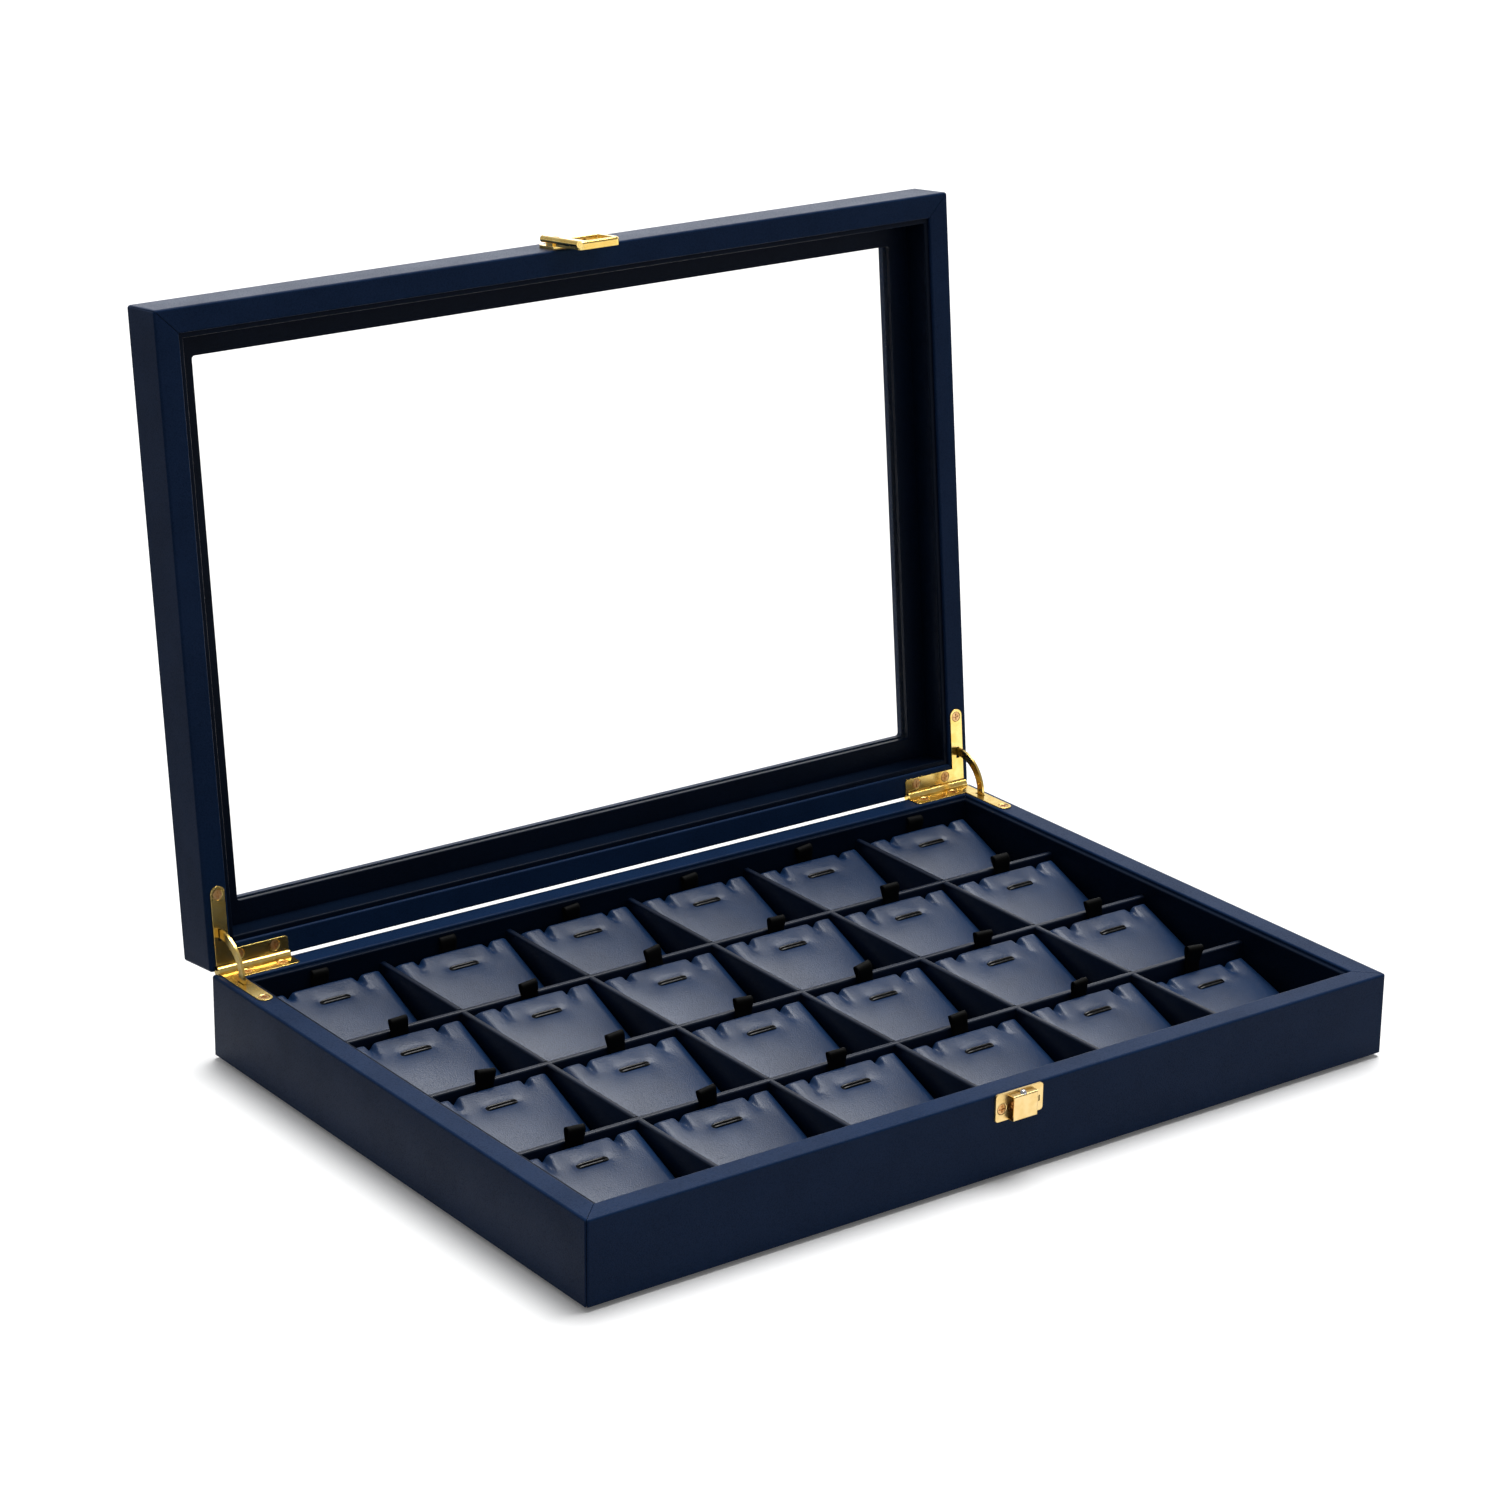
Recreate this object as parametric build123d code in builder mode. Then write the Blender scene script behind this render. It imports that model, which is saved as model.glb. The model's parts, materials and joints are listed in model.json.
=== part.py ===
from build123d import *
import os
from math import cos, radians, sin, sqrt

# Jewelry display case: a shallow leather-wrapped tray of 24 sloped pads under a glass-topped lid.
# Millimetres. The origin is the centre of the underside, +X is to the right and +Y to the back.
# The lid is modelled open, as the case is shown.

os.makedirs("parts", exist_ok=True)

# Overall sizes
case_width = 350.0
case_depth = 240.0
base_height = 31.5
lid_height = 20.0
closing_gap = 1.0
opening_angle = 95.8

# Wrapped boards
wall = 9.2
rim_rounding = 0.9
inner_rounding = 0.7
corner_rounding = 1.2
mitre_seam = 0.2
cut_margin = 1.0
small = 0.01

# Floor, felt and linings
felt_thickness = 0.6
felt_inset = 2.0
felt_corner = 3.0
panel_thickness = 2.4
liner_thickness = 2.0
liner_drop = 1.2
liner_rounding = 0.6

# Lid window
top_panel_thickness = 3.0
glass_thickness = 2.5
glass_clearance = 0.5
ledge_thickness = 2.0
window_margin = 20.0
window_corner = 1.2
window_rounding = 0.6
ledge_rounding = 0.4

# Divider grid
columns = 6
rows = 4
divider_thickness = 2.4
divider_drop = 6.5
divider_rounding = 0.8
lap_clearance = 0.05

# Pads
pad_side_clearance = 0.6
pad_front_clearance = 0.6
pad_rear_clearance = 1.9
pad_floor_clearance = 0.3
pad_front_height = 1.3
pad_top_drop = 7.1
chain_slot_spread = 14.5
chain_slot_length = 6.0
chain_slot_width = 2.0
chain_slot_depth = 3.0
bar_length = 13.5
bar_width = 2.4
bar_thickness = 1.3
bar_from_rear = 10.0
bar_proud = 0.9
ribbon_width = 6.4
ribbon_thickness = 1.0
ribbon_above_dividers = 6.3
ribbon_tail = 12.0

# Height of each pad that differs from the common one, by row from the rear and column from the left
pad_height_change = {
    (1, 5): -1.0,
    (2, 2): 0.9,
    (2, 4): 0.9,
    (3, 5): 0.5,
    (4, 4): -0.8,
    (4, 6): -3.5,
}

# Hinges with a curved stay
pin_behind = 0.0
leaf_thickness = 0.8
leaf_let_in = 0.4
leaf_clearance = 0.1
leaf_edge_rounding = 0.15
leaf_corner = 1.5
leaf_side_inset = 2.4
leaf_side_width = 5.8
leaf_side_length = 31.7
leaf_rear_length = 29.9
base_leaf_rear_width = 8.2
lid_leaf_rear_width = 7.2
barrel_radius = 2.0
barrel_length = 29.6
barrel_side_inset = 2.3
knuckles = 5
knuckle_gap = 0.1
knuckle_clearance = 0.2
barrel_recess_clearance = 0.4
pin_radius = 0.8
pin_clearance = 0.05
stay_inner = 12.3
stay_outer = 15.5
stay_thickness = 1.0
stay_side_inset = 5.0
stay_captive_angle = 5.0
stay_clearance = 0.3
stay_slot_play = 0.8
stay_end_angle = 1.5

# Countersunk screws
screw_head_radius = 1.85
screw_head_ring = 0.3
screw_shank_radius = 0.9
screw_head_depth = 0.8
screw_length = 6.5
screw_sink = 0.12
screw_cross = 2.6
screw_cross_width = 0.55
screw_cross_depth = 0.4
side_screw_from_rear = 28.5
rear_screw_from_rear = 4.7
rear_screws_from_side = (12.0, 26.7)

# Ball catch on the base
fitting_centre = 1.9
fitting_width = 20.7
fitting_height = 10.1
fitting_corner = 1.2
catch_plate_thickness = 0.8
catch_plate_low = 21.1
cover_centre = 2.65
cover_width = 10.7
cover_low = 21.0
cover_high = 30.2
cover_proud = 3.5
cover_sheet = 0.4
cover_fold = 0.6
ball_radius = 1.3
ball_clearance = 0.05
ball_travel = 1.0
ball_x = 2.3
ball_out = 2.0
ball_proud = 1.1
spring_outer = 1.0
spring_inner = 0.7
spring_clearance = 0.4
slit_x = 10.6
slit_height = 2.2
slit_width = 0.6
catch_screws_x = (-5.7, -1.2)

# Swinging loop on the lid
hasp_plate_thickness = 1.0
hasp_plate_low = 2.3
hasp_screws_x = (-4.5, 9.1)
hasp_screw_up = 8.7
loop_low = -14.0
loop_high = 10.4
loop_out = 1.1
loop_thickness = 3.0
loop_right = 10.9
loop_corner = 2.4
loop_rounding = 0.9
loop_window_rounding = 0.4
loop_cover_clearance = 0.5
loop_flap_clearance = 0.3
loop_axis_x = -7.5
loop_axis_out = 3.3
loop_barrel_radius = 1.3
loop_knuckle_low = 3.0
loop_knuckle_high = 6.5
loop_knuckle_gap = 0.15
loop_pin_radius = 0.6
loop_web_width = 1.4
dimple_clearance = 0.15

# Places worked out from the sizes above
half_width = case_width / 2
half_depth = case_depth / 2
inner_width = case_width - 2 * wall
inner_depth = case_depth - 2 * wall
tray_width = inner_width - 2 * liner_thickness
tray_depth = inner_depth - 2 * liner_thickness
floor_top = felt_thickness + panel_thickness
divider_top = base_height - divider_drop
cell_width = (tray_width - (columns - 1) * divider_thickness) / columns
cell_depth = (tray_depth - (rows - 1) * divider_thickness) / rows
column_pitch = cell_width + divider_thickness
row_pitch = cell_depth + divider_thickness
lid_wall_top = lid_height - top_panel_thickness
glass_bottom = lid_wall_top - glass_thickness
ledge_bottom = glass_bottom - ledge_thickness
pin_y = half_depth + pin_behind
pin_z = base_height + closing_gap / 2

# The lid's own frame: the centre of its mating face, turned back about the hinge pins
tilt = radians(opening_angle)
lid_y = Vector(0, cos(tilt), -sin(tilt))
lid_z = Vector(0, sin(tilt), cos(tilt))
lid_origin = Vector(0, pin_y, pin_z) - lid_y * pin_y + lid_z * (closing_gap / 2)
base_rim = Plane((0, 0, base_height))
lid_rim = Plane(lid_origin, x_dir=(1, 0, 0), z_dir=lid_z)
base_front = Plane((0, -half_depth, 0), x_dir=(1, 0, 0), z_dir=(0, -1, 0))
lid_front = Plane(lid_origin - lid_y * half_depth, x_dir=(1, 0, 0), z_dir=lid_y * -1)

node_names = []


def keep(part, name):
    """Label a finished piece and write it."""
    part.label = name
    export_step(part, f"parts/{name}.step")
    node_names.append(name)


def from_local(plane, x, y, z):
    """Point of the common frame for a point given in a plane's own frame."""
    return plane.origin + plane.x_dir * x + plane.y_dir * y + plane.z_dir * z


def mirrored(part):
    """The same piece on the other side of the case."""
    with BuildPart() as other:
        add(part)
        mirror(about=Plane.YZ, mode=Mode.REPLACE)
    return other.part


# Wrapped frames of four mitred boards


def wrapped_ring(plane, low, high, rim_first):
    """Ring of the four walls, with its rim edges rounded. rim_first puts the rim at the low end."""
    rim_end = 0 if rim_first else -1
    with BuildPart() as ring:
        with BuildSketch(plane.offset(low)):
            RectangleRounded(case_width, case_depth, corner_rounding)
            Rectangle(inner_width, inner_depth, mode=Mode.SUBTRACT)
        extrude(amount=high - low)
        up = Axis(plane.origin, plane.z_dir)
        rim = ring.faces().sort_by(up)[rim_end]
        outer_edges = rim.outer_wire().edges()
        inner_edges = rim.inner_wires()[0].edges()
        fillet(outer_edges, rim_rounding)
        fillet(inner_edges, inner_rounding)
    return ring.part


def mitred_board(ring, plane, turn, low, high):
    """One side of a ring between 45 degree cuts, half a seam short of each corner's diagonal."""
    along = plane.x_dir * cos(radians(turn)) + plane.y_dir * sin(radians(turn))
    side = Plane(plane.origin, x_dir=along, z_dir=plane.z_dir)
    lengthways = turn % 180 == 0
    reach = half_width if lengthways else half_depth
    out = half_depth if lengthways else half_width
    shift = mitre_seam / 2 * sqrt(2)
    long_end = reach + cut_margin - shift
    short_end = reach - wall - cut_margin - shift
    with BuildPart() as board:
        add(ring)
        with BuildSketch(side.offset(low - cut_margin)):
            with BuildLine():
                Polyline(
                    (-long_end, -out - cut_margin),
                    (long_end, -out - cut_margin),
                    (short_end, -out + wall + cut_margin),
                    (-short_end, -out + wall + cut_margin),
                    close=True,
                )
            make_face()
        extrude(amount=high - low + 2 * cut_margin, mode=Mode.INTERSECT)
    return board.part


# Hinge fittings, made on the right and mirrored to the left

barrel_end = half_width - barrel_side_inset
knuckle_length = barrel_length / knuckles
leg_middle = half_width - leaf_side_inset - leaf_side_width / 2
leg_round = leaf_side_width / 2
rear_leg_outer = half_width - leaf_side_inset
stay_x = half_width - stay_side_inset


def pin_plane(rim, x):
    """Plane square to the hinge pin at x, with the rim's own directions."""
    return Plane((x, pin_y, pin_z), x_dir=rim.y_dir, z_dir=rim.x_dir)


def leaf_sheet(rim, low, high, spread):
    """L-shaped sheet between two heights over a rim, its outline widened by spread."""
    rear_width = base_leaf_rear_width if rim is base_rim else lid_leaf_rear_width
    leg_length = leaf_side_length - leg_round
    with BuildPart() as sheet:
        with BuildSketch(rim.offset(low)) as outline:
            with Locations((leg_middle, half_depth - leg_length / 2)):
                Rectangle(leaf_side_width + 2 * spread, leg_length)
            with Locations((leg_middle, half_depth - leg_length)):
                Circle(leg_round + spread)
            with Locations((rear_leg_outer - leaf_rear_length / 2, half_depth - rear_width / 2)):
                Rectangle(leaf_rear_length + 2 * spread, rear_width + 2 * spread)
            inner_end = outline.vertices().sort_by(Axis.X)[:2]
            fillet(inner_end.sort_by(Axis.Y)[0], leaf_corner + spread)
        extrude(amount=high - low)
    return sheet.part


def stay_band(rim, x, thickness, inner, outer, start, sweep):
    """Flat band curved about the pin, from a start angle through a sweep."""
    with BuildPart() as band:
        with BuildSketch(pin_plane(rim, x - thickness / 2)):
            with BuildLine():
                outside = CenterArc((0, 0), outer, start, sweep)
                inside = CenterArc((0, 0), inner, start, sweep)
                Line(outside @ 0, inside @ 0)
                Line(outside @ 1, inside @ 1)
            make_face()
        extrude(amount=thickness)
    return band.part


def screw_shapes(planes, recessed):
    """Countersunk screws, each with its head's top on a plane and a cross recessed in it.

    Without the cross they are the holes for such screws, a ring wider round each head and open
    above it.
    """
    top_radius = screw_head_radius if recessed else screw_head_radius + screw_head_ring
    with BuildPart(*planes) as group:
        with Locations((0, 0, -screw_head_depth / 2)):
            Cone(screw_shank_radius, top_radius, screw_head_depth)
        with Locations((0, 0, -screw_length / 2)):
            Cylinder(screw_shank_radius, screw_length)
        if recessed:
            Box(screw_cross, screw_cross_width, 2 * screw_cross_depth, mode=Mode.SUBTRACT)
            Box(screw_cross_width, screw_cross, 2 * screw_cross_depth, mode=Mode.SUBTRACT)
        else:
            with Locations((0, 0, screw_sink)):
                Cylinder(top_radius, 2 * screw_sink)
    return group.part


def hinge_screw_planes(rim, facing):
    """Planes of the three screws of one leaf. facing is the side that the heads look to."""
    across = [(leg_middle, side_screw_from_rear)]
    across += [(half_width - place, rear_screw_from_rear) for place in rear_screws_from_side]
    height = facing * (leaf_thickness - leaf_let_in - screw_sink)
    return [
        Plane(
            from_local(rim, x, half_depth - back, height),
            x_dir=rim.x_dir,
            z_dir=rim.z_dir * facing,
        )
        for x, back in across
    ]


def hinge_leaf(rim, facing, own):
    """Leaf with its own knuckles, cleared round the other leaf's knuckles."""
    low = min(-facing * leaf_let_in, facing * (leaf_thickness - leaf_let_in))
    sheet = leaf_sheet(rim, low, low + leaf_thickness, 0)
    holes = screw_shapes(hinge_screw_planes(rim, facing), False)
    slot_near = stay_inner - stay_slot_play - stay_clearance
    slot_length = stay_outer + stay_clearance - slot_near
    slot_middle = pin_y - slot_near - slot_length / 2
    with BuildPart() as leaf:
        add(sheet)
        outer_face = leaf.faces().sort_by(Axis(rim.origin, rim.z_dir * facing))[-1]
        seen_edges = outer_face.edges().sort_by(Axis(rim.origin, rim.y_dir))[:-1]
        fillet(seen_edges, leaf_edge_rounding)
        for count in range(knuckles):
            start = barrel_end - barrel_length + count * knuckle_length
            if count in own:
                with BuildSketch(pin_plane(rim, start + knuckle_gap / 2)):
                    Circle(barrel_radius)
                extrude(amount=knuckle_length - knuckle_gap)
                tongue = pin_y - half_depth + leaf_thickness
                middle = start + knuckle_length / 2
                with BuildSketch(rim.offset(low)):
                    with Locations((middle, pin_y - tongue / 2)):
                        Rectangle(knuckle_length - knuckle_gap, tongue)
                extrude(amount=leaf_thickness)
            else:
                with BuildSketch(pin_plane(rim, start - knuckle_gap / 2)):
                    Circle(barrel_radius + knuckle_clearance)
                extrude(amount=knuckle_length + knuckle_gap, mode=Mode.SUBTRACT)
        bore = pin_radius if rim is base_rim else pin_radius + pin_clearance
        with BuildSketch(pin_plane(rim, barrel_end - barrel_length - cut_margin)):
            Circle(bore)
        extrude(amount=barrel_length + 2 * cut_margin, mode=Mode.SUBTRACT)
        with BuildSketch(rim.offset(low)):
            with Locations((stay_x, slot_middle)):
                Rectangle(stay_thickness + 2 * stay_clearance, slot_length)
        extrude(amount=leaf_thickness, mode=Mode.SUBTRACT)
        add(holes, mode=Mode.SUBTRACT)
    return leaf.part


half_stay = opening_angle / 2 + stay_captive_angle
pocket_sweep = half_stay + stay_captive_angle + stay_end_angle


def hinge_pockets(rim, facing):
    """What the right hinge takes out of the walls: its leaf's bed, barrel, stay and screws."""
    bed_low = min(-facing * leaf_let_in, facing * leaf_thickness)
    bed = leaf_sheet(rim, bed_low, bed_low + leaf_let_in + leaf_thickness, leaf_clearance)
    holes = screw_shapes(hinge_screw_planes(rim, facing), False)
    start = 180 - stay_captive_angle if facing > 0 else 180 + stay_captive_angle - pocket_sweep
    slot = stay_band(
        rim,
        stay_x,
        stay_thickness + 2 * stay_clearance,
        stay_inner - stay_clearance,
        stay_outer + stay_clearance,
        start,
        pocket_sweep,
    )
    with BuildPart() as pockets:
        add(bed)
        add(holes)
        add(slot)
        with BuildSketch(pin_plane(rim, barrel_end - barrel_length - barrel_recess_clearance)):
            Circle(barrel_radius + barrel_recess_clearance)
        extrude(amount=barrel_length + 2 * barrel_recess_clearance)
    return pockets.part


base_knuckles = range(0, knuckles, 2)
lid_knuckles = range(1, knuckles, 2)
for rim, facing, own, owner in (
    (base_rim, 1, base_knuckles, "base"),
    (lid_rim, -1, lid_knuckles, "lid"),
):
    leaf = hinge_leaf(rim, facing, own)
    keep(leaf, f"right_hinge_{owner}_leaf")
    keep(mirrored(leaf), f"left_hinge_{owner}_leaf")

stay = stay_band(
    base_rim,
    stay_x,
    stay_thickness,
    stay_inner,
    stay_outer,
    180 - opening_angle / 2 - half_stay,
    2 * half_stay,
)
keep(stay, "right_hinge_stay")
keep(mirrored(stay), "left_hinge_stay")

with BuildPart() as hinge_pins:
    with BuildSketch(pin_plane(base_rim, barrel_end - barrel_length)):
        Circle(pin_radius)
    extrude(amount=barrel_length)
    mirror(about=Plane.YZ)
keep(hinge_pins.part, "hinge_pins")


# Ball catch on the front of the base

cover_middle = (cover_low + cover_high) / 2
cover_depth = cover_proud - catch_plate_thickness
ball_z = cover_high + ball_proud - ball_radius
spring_top = ball_z - ball_radius
spring_bottom = cover_low + cover_sheet + ball_travel + spring_clearance
catch_screw_planes = [
    Plane(
        from_local(base_front, x, cover_middle, catch_plate_thickness - screw_sink),
        x_dir=base_front.x_dir,
        z_dir=base_front.z_dir,
    )
    for x in catch_screws_x
]
catch_holes = screw_shapes(catch_screw_planes, False)

with BuildPart() as catch_body:
    with BuildSketch(base_front):
        with Locations((fitting_centre, catch_plate_low + fitting_height / 2)):
            RectangleRounded(fitting_width, fitting_height, fitting_corner)
    extrude(amount=catch_plate_thickness)
    with BuildSketch(base_front.offset(catch_plate_thickness)):
        with Locations((cover_centre, cover_middle)):
            Rectangle(cover_width, cover_high - cover_low)
    extrude(amount=cover_depth)
    cover_front = catch_body.faces().sort_by(Axis.Y)[0]
    fillet(cover_front.edges().sort_by(Axis.X)[1:], cover_fold)
    hollow_width = cover_width - cover_sheet + cut_margin
    with BuildSketch(base_front.offset(catch_plate_thickness)):
        with Locations((cover_centre - cover_sheet / 2 - cut_margin / 2, cover_middle)):
            Rectangle(hollow_width, cover_high - cover_low - 2 * cover_sheet)
    extrude(amount=cover_depth - cover_sheet, mode=Mode.SUBTRACT)
    with BuildSketch(Plane.XY.offset(ball_z)):
        with Locations((ball_x, -half_depth - ball_out)):
            Circle(ball_radius + ball_clearance)
    extrude(amount=-ball_radius - ball_travel - cut_margin, mode=Mode.SUBTRACT)
    with Locations((ball_x, -half_depth - ball_out, ball_z)):
        Sphere(ball_radius + ball_clearance, mode=Mode.SUBTRACT)
    with BuildSketch(base_front):
        with Locations((slit_x, cover_middle)):
            Rectangle(slit_width, slit_height)
    extrude(amount=catch_plate_thickness, mode=Mode.SUBTRACT)
    add(catch_holes, mode=Mode.SUBTRACT)
keep(catch_body.part, "catch_body")

with BuildPart() as catch_ball:
    with Locations((ball_x, -half_depth - ball_out, ball_z)):
        Sphere(ball_radius)
    with BuildSketch(Plane.XY.offset(spring_top)):
        with Locations((ball_x, -half_depth - ball_out)):
            Circle(spring_outer)
            Circle(spring_inner, mode=Mode.SUBTRACT)
    extrude(amount=spring_bottom - spring_top)
keep(catch_ball.part, "catch_ball")


# Swinging loop on the front of the lid

hasp_screw_planes = [
    Plane(
        from_local(lid_front, x, hasp_plate_low + hasp_screw_up, hasp_plate_thickness - screw_sink),
        x_dir=lid_front.x_dir,
        z_dir=lid_front.z_dir,
    )
    for x in hasp_screws_x
]
hasp_holes = screw_shapes(hasp_screw_planes, False)
mating_height = base_height + closing_gap
opening_low = cover_low - loop_cover_clearance - mating_height
opening_high = cover_high + loop_flap_clearance - mating_height


def loop_axis_plane(height):
    """Plane square to the loop's pin at a height over the lid's mating face."""
    centre = from_local(lid_front, loop_axis_x, height, loop_axis_out)
    return Plane(centre, x_dir=lid_front.x_dir, z_dir=lid_front.y_dir)


with BuildPart() as hasp_plate:
    with BuildSketch(lid_front):
        with Locations((fitting_centre, hasp_plate_low + fitting_height / 2)):
            RectangleRounded(fitting_width, fitting_height, fitting_corner)
    extrude(amount=hasp_plate_thickness)
    with BuildSketch(lid_front):
        with Locations((loop_axis_x, (loop_knuckle_low + loop_knuckle_high) / 2)):
            Rectangle(loop_web_width, loop_knuckle_high - loop_knuckle_low)
    extrude(amount=loop_axis_out)
    with BuildSketch(loop_axis_plane(loop_knuckle_low)):
        Circle(loop_barrel_radius)
    extrude(amount=loop_knuckle_high - loop_knuckle_low)
    with BuildSketch(loop_axis_plane(loop_knuckle_low)):
        Circle(loop_pin_radius)
    extrude(amount=loop_knuckle_high - loop_knuckle_low, mode=Mode.SUBTRACT)
    add(hasp_holes, mode=Mode.SUBTRACT)
keep(hasp_plate.part, "hasp_plate")

loop_width = loop_right - loop_axis_x
loop_middle = (loop_right + loop_axis_x) / 2
notch_reach = loop_barrel_radius + knuckle_clearance + loop_web_width
with BuildPart() as hasp_loop:
    with BuildSketch(lid_front.offset(loop_out)):
        with Locations((loop_middle, (loop_low + loop_high) / 2)):
            RectangleRounded(loop_width, loop_high - loop_low, loop_corner)
        with Locations((cover_centre, (opening_low + opening_high) / 2)):
            RectangleRounded(
                cover_width + 2 * loop_cover_clearance,
                opening_high - opening_low,
                inner_rounding,
                mode=Mode.SUBTRACT,
            )
    extrude(amount=loop_thickness)
    loop_faces = hasp_loop.faces().sort_by(Axis(lid_front.origin, lid_front.z_dir))
    outer_edges = loop_faces[-1].outer_wire().edges()
    window_edges = loop_faces[-1].inner_wires()[0].edges()
    fillet(outer_edges, loop_rounding)
    fillet(window_edges, loop_window_rounding)
    with BuildSketch(loop_axis_plane(loop_low)):
        Circle(loop_barrel_radius)
    extrude(amount=loop_high - loop_low)
    with BuildSketch(loop_axis_plane(loop_knuckle_low - loop_knuckle_gap)):
        Rectangle(2 * notch_reach, 2 * notch_reach)
    notch_height = loop_knuckle_high - loop_knuckle_low + 2 * loop_knuckle_gap
    extrude(amount=notch_height, mode=Mode.SUBTRACT)
    with BuildSketch(loop_axis_plane(loop_low - cut_margin)):
        Circle(loop_pin_radius + pin_clearance)
    extrude(amount=loop_high - loop_low + 2 * cut_margin, mode=Mode.SUBTRACT)
    dimple_centre = from_local(lid_front, ball_x, ball_z - mating_height, ball_out)
    with Locations(dimple_centre):
        Sphere(ball_radius + dimple_clearance, mode=Mode.SUBTRACT)
keep(hasp_loop.part, "hasp_loop")

with BuildPart() as hasp_pin:
    with BuildSketch(loop_axis_plane(loop_low)):
        Circle(loop_pin_radius)
    extrude(amount=loop_high - loop_low)
keep(hasp_pin.part, "hasp_pin")


# Screws, one group for each half of the case

for owner, rim, facing, front_planes in (
    ("base", base_rim, 1, catch_screw_planes),
    ("lid", lid_rim, -1, hasp_screw_planes),
):
    hinge_screws = screw_shapes(hinge_screw_planes(rim, facing), True)
    front_screws = screw_shapes(front_planes, True)
    with BuildPart() as screws:
        add(hinge_screws)
        mirror(about=Plane.YZ)
        add(front_screws)
    keep(screws.part, f"{owner}_screws")


# Walls of the base and the lid

sides = (("front", 0), ("right", 90), ("rear", 180), ("left", 270))
for owner, plane, rim, facing, low, high, holes in (
    ("base", Plane.XY, base_rim, 1, felt_thickness, base_height, catch_holes),
    ("lid", lid_rim, lid_rim, -1, 0, lid_wall_top, hasp_holes),
):
    ring = wrapped_ring(plane, low, high, rim_first=facing < 0)
    right_pockets = hinge_pockets(rim, facing)
    left_pockets = mirrored(right_pockets)
    for side, turn in sides:
        board = mitred_board(ring, plane, turn, low, high)
        with BuildPart() as finished:
            add(board)
            if side == "front":
                add(holes, mode=Mode.SUBTRACT)
            if side in ("right", "rear"):
                add(right_pockets, mode=Mode.SUBTRACT)
            if side in ("left", "rear"):
                add(left_pockets, mode=Mode.SUBTRACT)
        keep(finished.part, f"{owner}_{side}_wall")


# Floor, felt and lining of the base

with BuildPart() as base_panel:
    with BuildSketch(Plane.XY.offset(felt_thickness)):
        Rectangle(inner_width, inner_depth)
    extrude(amount=panel_thickness)
keep(base_panel.part, "base_panel")

with BuildPart() as base_felt:
    with BuildSketch(Plane.XY):
        RectangleRounded(case_width - 2 * felt_inset, case_depth - 2 * felt_inset, felt_corner)
    extrude(amount=felt_thickness)
keep(base_felt.part, "base_felt")

with BuildPart() as base_liner:
    with BuildSketch(Plane.XY.offset(floor_top)):
        Rectangle(inner_width, inner_depth)
        Rectangle(tray_width, tray_depth, mode=Mode.SUBTRACT)
    extrude(amount=base_height - liner_drop - floor_top)
    liner_rim = base_liner.faces().sort_by(Axis.Z)[-1]
    fillet(liner_rim.inner_wires()[0].edges(), liner_rounding)
keep(base_liner.part, "base_liner")


# Dividers, half-lapped where they cross

divider_height = divider_top - floor_top
lap_height = divider_height / 2
lap_width = divider_thickness + 2 * lap_clearance

for number in range(1, columns):
    with BuildPart() as divider:
        with BuildSketch(Plane.XY.offset(floor_top)):
            with Locations(((number - columns / 2) * column_pitch, 0)):
                Rectangle(divider_thickness, tray_depth)
        extrude(amount=divider_height)
        top = divider.faces().sort_by(Axis.Z)[-1]
        fillet(top.edges().filter_by(Axis.Y), divider_rounding)
        with BuildSketch(Plane.XY.offset(divider_top)):
            with Locations(((number - columns / 2) * column_pitch, 0)):
                with GridLocations(0, row_pitch, 1, rows - 1):
                    Rectangle(divider_thickness, lap_width)
        extrude(amount=-lap_height, mode=Mode.SUBTRACT)
    keep(divider.part, f"column_divider_{number}")

for number, name in enumerate(("rear", "middle", "front"), start=1):
    with BuildPart() as divider:
        with BuildSketch(Plane.XY.offset(floor_top)):
            with Locations((0, (rows / 2 - number) * row_pitch)):
                Rectangle(tray_width, divider_thickness)
        extrude(amount=divider_height)
        top = divider.faces().sort_by(Axis.Z)[-1]
        fillet(top.edges().filter_by(Axis.X), divider_rounding)
        with BuildSketch(Plane.XY.offset(floor_top)):
            with Locations((0, (rows / 2 - number) * row_pitch)):
                with GridLocations(column_pitch, 0, columns - 1, 1):
                    Rectangle(lap_width, divider_thickness)
        extrude(amount=lap_height, mode=Mode.SUBTRACT)
    keep(divider.part, f"row_divider_{name}")


# Lid: lining with its window ledge, glass and top panel

window_width = case_width - 2 * window_margin
window_depth = case_depth - 2 * window_margin
lid_up = Axis(lid_rim.origin, lid_rim.z_dir)


def on_ledge(point):
    """Whether a point lies on the window's edge, on the side of the ledge that faces the tray."""
    place = lid_rim.to_local_coords(point)
    in_window = abs(place.X) <= window_width / 2 + small and abs(place.Y) <= window_depth / 2 + small
    return in_window and abs(place.Z - ledge_bottom) < small


with BuildPart() as lid_liner:
    with BuildSketch(lid_rim.offset(liner_drop)):
        Rectangle(inner_width, inner_depth)
        Rectangle(tray_width, tray_depth, mode=Mode.SUBTRACT)
    extrude(amount=ledge_bottom - liner_drop)
    liner_rim = lid_liner.faces().sort_by(lid_up)[0]
    fillet(liner_rim.inner_wires()[0].edges(), liner_rounding)
    with BuildSketch(lid_rim.offset(ledge_bottom)):
        Rectangle(inner_width, inner_depth)
        RectangleRounded(window_width, window_depth, window_corner, mode=Mode.SUBTRACT)
    extrude(amount=ledge_thickness)
    window_edges = lid_liner.edges().filter_by(lambda edge: on_ledge(edge.center()))
    fillet(window_edges, ledge_rounding)
keep(lid_liner.part, "lid_liner")

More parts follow.
